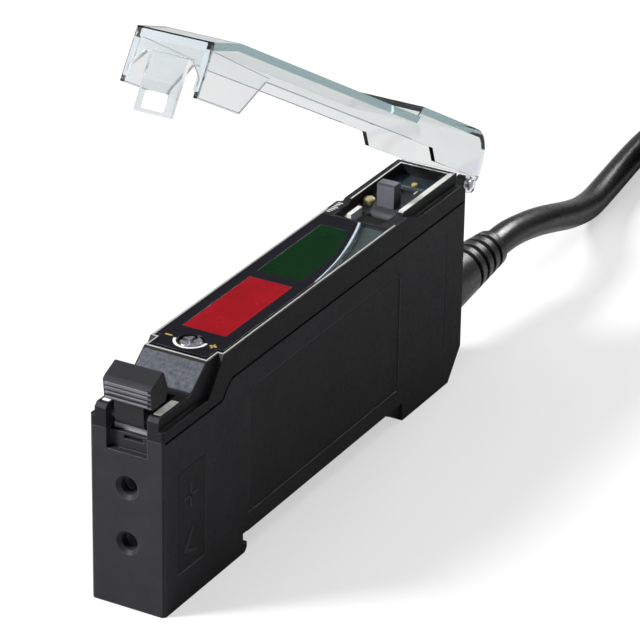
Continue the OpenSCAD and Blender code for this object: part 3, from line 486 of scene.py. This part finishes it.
def on_slope(u, v, h):
    """v runs up the sloping face from its foot, h stands off it."""
    rise = DECK_Z - EAR_Z
    length = math.hypot(rise, SLOPE_RUN)
    y = SLOPE_Y + (v * SLOPE_RUN - h * rise) / length
    return u, y, EAR_Z + (v * rise + h * SLOPE_RUN) / length


def on_wall_end(u, v, h):
    """The short ramp at the front end of the pocket's wall."""
    return u, v, DECK_Z + (v - RAMP_Y) * (WALL_Z - DECK_Z) / RAMP_RUN + h


def turned(x, y, z):
    """A place on the closed lid, turned to the open lid of the rest pose."""
    dy, dz = y - HINGE[0], z - HINGE[1]
    c, s = math.cos(LID_OPEN), math.sin(LID_OPEN)
    return x, HINGE[0] + dy * c + dz * s, HINGE[1] - dy * s + dz * c


def lid_front(u, v, h):
    """v is the height on the closed lid's front wall and tab, h stands off it."""
    y = -1.95 + 0.0526 * (v - 21.6) if v < 25.4 else -1.85 + 0.1 * (v - 24.4)
    return turned(u, y - h, v)


def lid_right(u, v, h):
    return turned(h, u, v)


def lid_left(u, v, h):
    return turned(-h, u, v)


def lever_front(u, v, h):
    """v is the height on the lever's front, which leans forward, h stands off it."""
    return u, 0.4 - 0.098 * (v - 26.45) - h, v


def lever_ribs(u, v, h):
    """v is the height on the fronts of the lever's ribs, h stands off them."""
    return u, 0.02 - h, v


def jog_front(u, v, h):
    """v is the height on the front of the jog lever's upright, h stands off it."""
    return u, 59.1 - h, v


def stroke(points, width):
    """Thin plates along a line, on its right side."""
    runs = []
    for (u0, v0), (u1, v1) in zip(points, points[1:]):
        length = math.hypot(u1 - u0, v1 - v0)
        du, dv = width * (v1 - v0) / length, -width * (u1 - u0) / length
        runs.append([(u0, v0), (u1, v1), (u1 + du, v1 + dv), (u0 + du, v0 + dv)])
    return runs


def add_lid_details():
    """Skin, frosted pad, and lines of painted shade and patches of painted light along the edges, which
    make the clear lid's front and wings readable.
    """
    notch = [(-2.42, 25.5), (-2.42, 28.4), (-3.0, 28.4), (-4.45, 26.6), (-4.45, 24.45)]
    other = [(-u, v) for u, v in reversed(notch)]
    wall = [(-4.95, 24.45), (-4.95, 30.7), (4.95, 30.7), (4.95, 24.45)] + other + notch
    plates("lid_front_skin", [wall], 0.0, FILM, lid_front, LOOKS["tint"], "lid")
    tab = [(-2.35, 21.7), (2.35, 21.7), (2.35, 25.3), (-2.35, 25.3)]
    plates("lid_tab_skin", [tab], 0.0, FILM, lid_front, LOOKS["tint"], "lid")
    pad = rounded(-1.5, 22.0, 1.5, 24.1, 0.3)
    plates("lid_tab_pad", [pad], FILM, 2 * FILM, lid_front, LOOKS["frost"], "lid")
    lines = stroke([(-2.42, 28.4), (-3.0, 28.4), (-4.45, 26.6), (-4.45, 24.5)], 0.1)
    lines += stroke([(4.45, 24.5), (4.45, 26.6), (3.0, 28.4), (2.42, 28.4)], 0.1)
    lines += stroke([(4.85, 30.6), (4.85, 24.5)], 0.08) + stroke([(-4.85, 24.5), (-4.85, 30.6)], 0.08)
    lines += stroke([(-2.4, 28.55), (2.4, 28.55)], 0.1)
    plates("lid_front_lines", lines, FILM, FILM, lid_front, LOOKS["line"], "lid")
    edges = [rounded(-4.3, 29.75, 4.25, 30.72, 0.2), rounded(-4.9, 25.1, -4.15, 29.6, 0.25),
             rounded(4.15, 25.1, 4.9, 29.6, 0.25)]
    plates("lid_front_edges", edges, FILM, FACE, lid_front, LOOKS["lid_edge_light"], "lid")
    wing = [(-1.7, 24.55), (SHOULDER[0], 24.55), (SHOULDER[1], 28.95), (54.0, 28.95)]
    edges = stroke(wing, 0.07) + stroke([(-1.75, 24.6), (-1.1, 30.7)], 0.07)
    edges += stroke([(-0.6, 29.9), (SHOULDER[1] + 0.6, 29.4)], 0.06)
    for side, place in (("right", lid_right), ("left", lid_left)):
        plates(f"lid_lines_{side}", edges, OUTER_SIDE, FACE, place, LOOKS["line"], "lid")


def add_lever_grip():
    """Faces of the grip ribs and of the bands between them, painted paler than the lever as painted light
    on its front.
    """
    bands = [[(-3.1, v0), (3.1, v0), (3.1, v1), (-3.1, v1)]
             for v0, v1 in ((26.5, 26.78), (27.12, 27.38), (27.72, 27.98), (28.32, 28.58))]
    plates("lever_bands", bands, 0.0, FACE, lever_front, LOOKS["grip"], "lever")
    ribs = [[(-2.85, z - 0.08), (2.85, z - 0.08), (2.85, z + 0.08), (-2.85, z + 0.08)]
            for z in (26.95, 27.55, 28.15, 28.75)]
    plates("lever_rib_faces", ribs, 0.0, FACE, lever_ribs, LOOKS["grip"], "lever")


def add_jog_faces():
    """The front and top of the jog lever's upright, painted paler than its sides as painted light."""
    front = [rounded(-0.2, 28.3, 2.2, 31.15, 0.1, 3)]
    plates("jog_front_face", front, 0.0, FILM, jog_front, LOOKS["jog_painted_light"], "jog")
    top = [rounded(-0.2, 59.35, 2.2, 60.55, 0.1, 3)]
    plates("jog_top_face", top, 31.4, FILM, flat, LOOKS["jog_painted_light"], "jog")


def add_deck_details():
    """A painted highlight along the arc and a painted reflection in its corner, the adjuster's ring and
    marks, the lamp's panel, marks and ticks.
    """
    rear = POCKET_FRONT - 0.3
    front = 41.0
    corner = [(arc_x(y, 0.12), y) for y in span(front, rear, 24)] + [(4.5, rear), (4.5, front)]
    plates("corner_painted_reflection", [corner], CORNER_Z, CAP, flat, LOOKS["corner"])
    ys = span(35.0, 53.0, 40)
    strip = [(arc_x(y, 0.03), y) for y in ys]
    strip += [(arc_x(y, -0.1 - 0.16 * eased((y - front) / 8)), y) for y in reversed(ys)]
    plates("arc_edge", [strip], DECK_TOP - 0.5, 0.52, flat, LOOKS["arc"])
    ring = sector(*TRIMMER, 1.8, 2.15, 190, 365)
    plates("adjuster_ring", [ring], DECK_TOP, FILM, flat, LOOKS["print"])
    gold = [rounded(-3.5, 13.95, -2.5, 14.2, 0.1, 3), rounded(2.5, 13.95, 3.5, 14.2, 0.1, 3),
            rounded(2.88, 13.57, 3.12, 14.58, 0.1, 3)]
    plates("adjuster_marks", gold, DECK_TOP, FILM, flat, LOOKS["gold"])
    panel = rounded(-3.15, 67.75, 3.15, 71.1, 0.3)
    plates("lamp_panel", [panel], POCKET_Z, FILM, flat, LOOKS["panel"])
    slot = [rounded(-1.3, 66.4, -1.18, 67.4, 0.05, 3), rounded(1.08, 66.4, 1.2, 67.4, 0.05, 3)]
    plates("slot_frame", slot, POCKET_Z, 0.08, flat, LOOKS["print"])
    marks = [rounded(-3.1, 54.6 + k * 1.3, -2.3, 55.1 + k * 1.3, 0.12, 3) for k in range(3)]
    plates("slide_marks", marks, POCKET_Z, FILM, flat, LOOKS["print"])
    ticks = [rounded(-4.6, 54.0 + k * 0.48, -4.1 + 0.12 * (k % 4), 54.2 + k * 0.48, 0.06, 3)
             for k in range(7)]
    plates("wall_ticks", ticks, DECK_Z, FILM, flat, LOOKS["print"])


def add_rims():
    """Painted highlights along the rims of the deck, on the pocket's walls and on the ears, and the
    slope's grain.
    """
    right = [(4.68, 13.45), (4.86, 13.45), (4.86, 54.7), (4.68, 54.7)]
    left = [(-u, v) for u, v in right]
    notch = [(3.92, 10.8), (4.1, 10.8), (4.1, 13.27), (4.86, 13.27), (4.86, 13.45), (3.92, 13.45)]
    front_line = [(-3.92, 10.8), (3.92, 10.8), (3.92, 10.98), (-3.92, 10.98)]
    other_notch = [(-u, v) for u, v in notch]
    rim = [right, left, notch, front_line, other_notch]
    plates("deck_rim", rim, DECK_Z, 0.07, flat, LOOKS["rim"])
    cap = [(3.42, 58.25), (4.12, 58.25), (4.12, 71.9), (3.42, 71.35)]
    plates("wall_cap", [cap], WALL_Z, CAP, flat, LOOKS["cap"])
    ramp_foot = [(3.42, 57.95), (4.12, 57.95), (4.12, 58.2), (3.42, 58.2)]
    plates("wall_cap_front", [ramp_foot], 0.0, CAP, on_wall_end, LOOKS["ramp_highlight"])
    inner = [[(-3.5, 58.3), (-3.34, 58.3), (-3.34, 71.24), (-3.5, 71.42)],
             [(-3.34, 71.24), (3.4, 71.24), (3.4, 71.42), (-3.5, 71.42)]]
    plates("pocket_rim", inner, WALL_Z, 0.05, flat, LOOKS["cap"])
    ears = [rounded(2.95, 1.0, 3.95, 5.0, 0.15, 3), rounded(-3.95, 1.0, -2.95, 5.0, 0.15, 3)]
    plates("ear_caps", ears, EAR_Z, FILM, flat, LOOKS["bright"])
    slope = rounded(-4.1, 0.25, 4.1, 4.2, 0.25)
    plates("slope_grain", [slope], 0.0, FILM, on_slope, LOOKS["slope"])


def add_side_details():
    """The seam's shadow, the panels' films, a painted highlight round the label's rim, and the raised
    marks, on both sides.
    """
    seam = [(0.35, 22.8), (12.9, 22.8), (13.65, 23.75), (15.05, 24.8), (73.25, 24.8)]
    label = rounded(19.35, 5.3, 56.0, 21.3, 1.4)
    rim = rounded(19.2, 5.15, 56.15, 21.45, 1.55)
    front = rounded(3.2, 4.4, 9.0, 17.4, 0.7)
    arrow = [(4.2, 6.6), (6.1, 9.3), (6.5, 9.0), (4.95, 6.8), (7.2, 6.0), (7.1, 5.6)]
    cross = [rounded(4.3, 13.4, 7.4, 13.8, 0.15, 3), rounded(5.65, 12.0, 6.05, 15.3, 0.15, 3)]
    sides = (("right", right_side), ("left", left_side))
    for side, place in sides:
        plates(f"seam_{side}", stroke(seam, 0.26), SEAM_SIDE, FILM, place, LOOKS["seam"])
    for side, place in sides:
        plates(f"label_film_{side}", [label], PANEL_SIDE, 0.05, place, LOOKS["film"])
        plates(f"label_rim_{side}", stroke(rim + rim[:1], 0.07), OUTER_SIDE, 0.012, place, LOOKS["rim_line_highlight"])
        plates(f"front_film_{side}", [front], PANEL_SIDE, CAP, place, LOOKS["film"])
        plates(f"raised_marks_{side}", [arrow] + cross, PANEL_SIDE + CAP, 0.07, place, LOOKS["mark"])


add_deck_details()
add_rims()
add_side_details()
add_lid_details()
add_lever_grip()
add_jog_faces()

# Cable: 2 m, of which the photograph shows the first stretch, and the rest is a hank past the view.
# Its diameter and route are in millimetres, its length in metres
CABLE_D = 4.0
ROUTE = [
    (0, 91, 9.6), (0, 96, 9.6), (0, 101, 8.9), (0, 106, 7.8), (-0.2, 111, 6.3), (-0.5, 116, 4.7),
    (-1, 121, 3.3), (-1.6, 126, 2.4), (-2.3, 131, 2.1), (-3, 137, 2.1), (-3.7, 143, 2.1),
    (-4.2, 149, 2.1), (-4.2, 154, 2.2),
]
COIL = (13.0, 160.0)
COIL_RUN = 78.0
COIL_BASE = 0.7
COLUMNS = (12.0, 16.0)
LAYERS = tuple(COIL_BASE + CABLE_D * (k + 0.5) for k in range(4))
# Order in which the turns fill the bundle: (column, layer)
CELLS = [(1, 0), (0, 0), (0, 1), (0, 2), (0, 3), (1, 3), (1, 2), (1, 1)]
# Points along a straight run, and round a bend
RUN_STEPS = 5
BEND_STEPS = 9
TAIL = [(29.3, 160.0, 6.7), (29.8, 155.5, 6.1), (30.0, 151.0, 4.2), (30.0, 147.0, 2.6),
        (30.0, 142.0, 2.05)]


def coil_points():
    """Turns of the hank: up the left run, round the far bend, down the right run and round the
    near bend, where each turn moves to the next cell of the bundle."""
    points = []
    for turn, (column, layer) in enumerate(CELLS):
        r0, z0 = COLUMNS[column], LAYERS[layer]
        for k in range(RUN_STEPS):
            points.append((COIL[0] - r0, COIL[1] + COIL_RUN * k / RUN_STEPS, z0))
        for k in range(BEND_STEPS):
            angle = math.pi * (1 - k / BEND_STEPS)
            points.append((COIL[0] + r0 * math.cos(angle),
                           COIL[1] + COIL_RUN + r0 * math.sin(angle), z0))
        for k in range(RUN_STEPS):
            points.append((COIL[0] + r0, COIL[1] + COIL_RUN * (1 - k / RUN_STEPS), z0))
        if turn == len(CELLS) - 1:
            break
        r1, z1 = COLUMNS[CELLS[turn + 1][0]], LAYERS[CELLS[turn + 1][1]]
        for k in range(BEND_STEPS):
            move = eased((k / BEND_STEPS - 0.1) / 0.8)
            radius = r0 + move * (r1 - r0)
            angle = -math.pi * k / BEND_STEPS
            points.append((COIL[0] + radius * math.cos(angle), COIL[1] + radius * math.sin(angle),
                           z0 + move * (z1 - z0)))
    return points


def tube_curve(name, points, diameter, material):
    """A round tube through the points, with smooth bends."""
    curve = bpy.data.curves.new(name, "CURVE")
    curve.dimensions = "3D"
    curve.resolution_u = 4
    curve.bevel_depth = diameter / 2 * MM
    curve.bevel_resolution = 6
    curve.use_fill_caps = True
    spline = curve.splines.new("BEZIER")
    spline.bezier_points.add(len(points) - 1)
    places = [at(*p) for p in points]
    for i, (knot, place) in enumerate(zip(spline.bezier_points, places)):
        before = places[max(i - 1, 0)]
        after = places[min(i + 1, len(places) - 1)]
        heading = (after - before).normalized()
        knot.co = place
        knot.handle_left_type = knot.handle_right_type = "FREE"
        knot.handle_left = place - heading * (place - before).length / 3
        knot.handle_right = place + heading * (after - place).length / 3
    curve.materials.append(material)
    piece = bpy.data.objects.new(name, curve)
    bpy.context.collection.objects.link(piece)
    return piece


cable_cord = tube_curve("cable_cord", ROUTE + coil_points() + TAIL, CABLE_D, LOOKS["sheath"])
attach(cable_cord, "housing")
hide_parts("cable", "cable_coil")

WHITE = (1.0, 1.0, 1.0, 1.0)
# The floor's colour, its colour in glossy plastic, and the share of plain white that the camera sees
FLOOR_COLOUR = (0.8, 0.8, 0.8, 1.0)
MIRRORED_COLOUR = (0.4, 0.4, 0.4, 1.0)
FLOOR_WHITE = 0.56
# The world's light on the object, and what clear pieces show of it overhead
FILL = 0.2
OVERHEAD = 0.55


def add_floor():
    """A pale table, which the camera sees nearly white and dark glossy plastic mirrors dimmer."""
    mesh = bpy.data.meshes.new("floor")
    build = bmesh.new()
    bmesh.ops.create_grid(build, x_segments=8, y_segments=8, size=1.6)
    build.to_mesh(mesh)
    build.free()
    piece = bpy.data.objects.new("floor", mesh)
    piece.location = (0.0, 0.0, FLOOR_Z)
    bpy.context.collection.objects.link(piece)
    material = bpy.data.materials.new("floor_white")
    material.use_nodes = True
    tree = material.node_tree
    tree.nodes.clear()
    out = tree.nodes.new("ShaderNodeOutputMaterial")
    diffuse = tree.nodes.new("ShaderNodeBsdfDiffuse")
    shade = tree.nodes.new("ShaderNodeMix")
    shade.data_type = "RGBA"
    shade.inputs["A"].default_value = FLOOR_COLOUR
    shade.inputs["B"].default_value = MIRRORED_COLOUR
    tree.links.new(shade.outputs["Result"], diffuse.inputs["Color"])
    glow = tree.nodes.new("ShaderNodeEmission")
    glow.inputs["Color"].default_value = WHITE
    glow.inputs["Strength"].default_value = 1.0
    path = tree.nodes.new("ShaderNodeLightPath")
    tree.links.new(path.outputs["Is Glossy Ray"], shade.inputs["Factor"])
    seen = tree.nodes.new("ShaderNodeMath")
    seen.operation = "MAXIMUM"
    tree.links.new(path.outputs["Is Camera Ray"], seen.inputs[0])
    tree.links.new(path.outputs["Is Transmission Ray"], seen.inputs[1])
    share = tree.nodes.new("ShaderNodeMath")
    share.operation = "MULTIPLY"
    share.inputs[1].default_value = FLOOR_WHITE
    tree.links.new(seen.outputs[0], share.inputs[0])
    mix = tree.nodes.new("ShaderNodeMixShader")
    tree.links.new(share.outputs[0], mix.inputs["Fac"])
    tree.links.new(diffuse.outputs[0], mix.inputs[1])
    tree.links.new(glow.outputs[0], mix.inputs[2])
    tree.links.new(mix.outputs[0], out.inputs[0])
    mesh.materials.append(material)


def add_world():
    """White for the camera, a low fill on the object, and a dimmer ceiling behind clear pieces,
    which draws their edges."""
    world = bpy.data.worlds.new("world")
    world.use_nodes = True
    bpy.context.scene.world = world
    tree = world.node_tree
    tree.nodes.clear()
    out = tree.nodes.new("ShaderNodeOutputWorld")
    seen = tree.nodes.new("ShaderNodeBackground")
    seen.inputs["Color"].default_value = WHITE
    fill = tree.nodes.new("ShaderNodeBackground")
    fill.inputs["Color"].default_value = WHITE
    fill.inputs["Strength"].default_value = FILL
    path = tree.nodes.new("ShaderNodeLightPath")
    either = tree.nodes.new("ShaderNodeMath")
    either.operation = "MAXIMUM"
    tree.links.new(path.outputs["Is Camera Ray"], either.inputs[0])
    tree.links.new(path.outputs["Is Transmission Ray"], either.inputs[1])
    mix = tree.nodes.new("ShaderNodeMixShader")
    way = tree.nodes.new("ShaderNodeTexCoord")
    split = tree.nodes.new("ShaderNodeSeparateXYZ")
    tree.links.new(way.outputs["Generated"], split.inputs[0])
    dark = tree.nodes.new("ShaderNodeMapRange")
    dark.interpolation_type = "SMOOTHSTEP"
    dark.inputs["From Min"].default_value = 0.2
    dark.inputs["From Max"].default_value = 0.6
    dark.inputs["To Min"].default_value = 1.0
    dark.inputs["To Max"].default_value = OVERHEAD
    tree.links.new(split.outputs["Z"], dark.inputs["Value"])
    plain = tree.nodes.new("ShaderNodeMath")
    plain.operation = "MAXIMUM"
    tree.links.new(dark.outputs["Result"], plain.inputs[0])
    tree.links.new(path.outputs["Is Camera Ray"], plain.inputs[1])
    tree.links.new(plain.outputs[0], seen.inputs["Strength"])
    tree.links.new(either.outputs[0], mix.inputs["Fac"])
    tree.links.new(fill.outputs[0], mix.inputs[1])
    tree.links.new(seen.outputs[0], mix.inputs[2])
    tree.links.new(mix.outputs[0], out.inputs[0])


def add_light(name, place, target, size, watts):
    """A soft oval lamp that faces the target."""
    data = bpy.data.lights.new(name, "AREA")
    data.shape = "ELLIPSE"
    data.size, data.size_y = size
    data.energy = watts
    lamp = bpy.data.objects.new(name, data)
    lamp.location = place
    heading = Vector(target) - Vector(place)
    lamp.rotation_euler = heading.to_track_quat("-Z", "Y").to_euler()
    bpy.context.collection.objects.link(lamp)


add_floor()
add_world()
add_light("key", (-0.52, -0.48, 0.53), (0.0, 0.0, 0.01), (0.23, 0.23), 13.4)
add_light("back", (0.05, 0.7, 0.5), (0.0, 0.02, 0.02), (0.45, 0.2), 4.0)
add_light("over", (-0.3, 0.1, 0.85), (0.0, 0.02, 0.02), (0.6, 0.6), 1.5)

bpy.context.scene.view_settings.view_transform = "Standard"
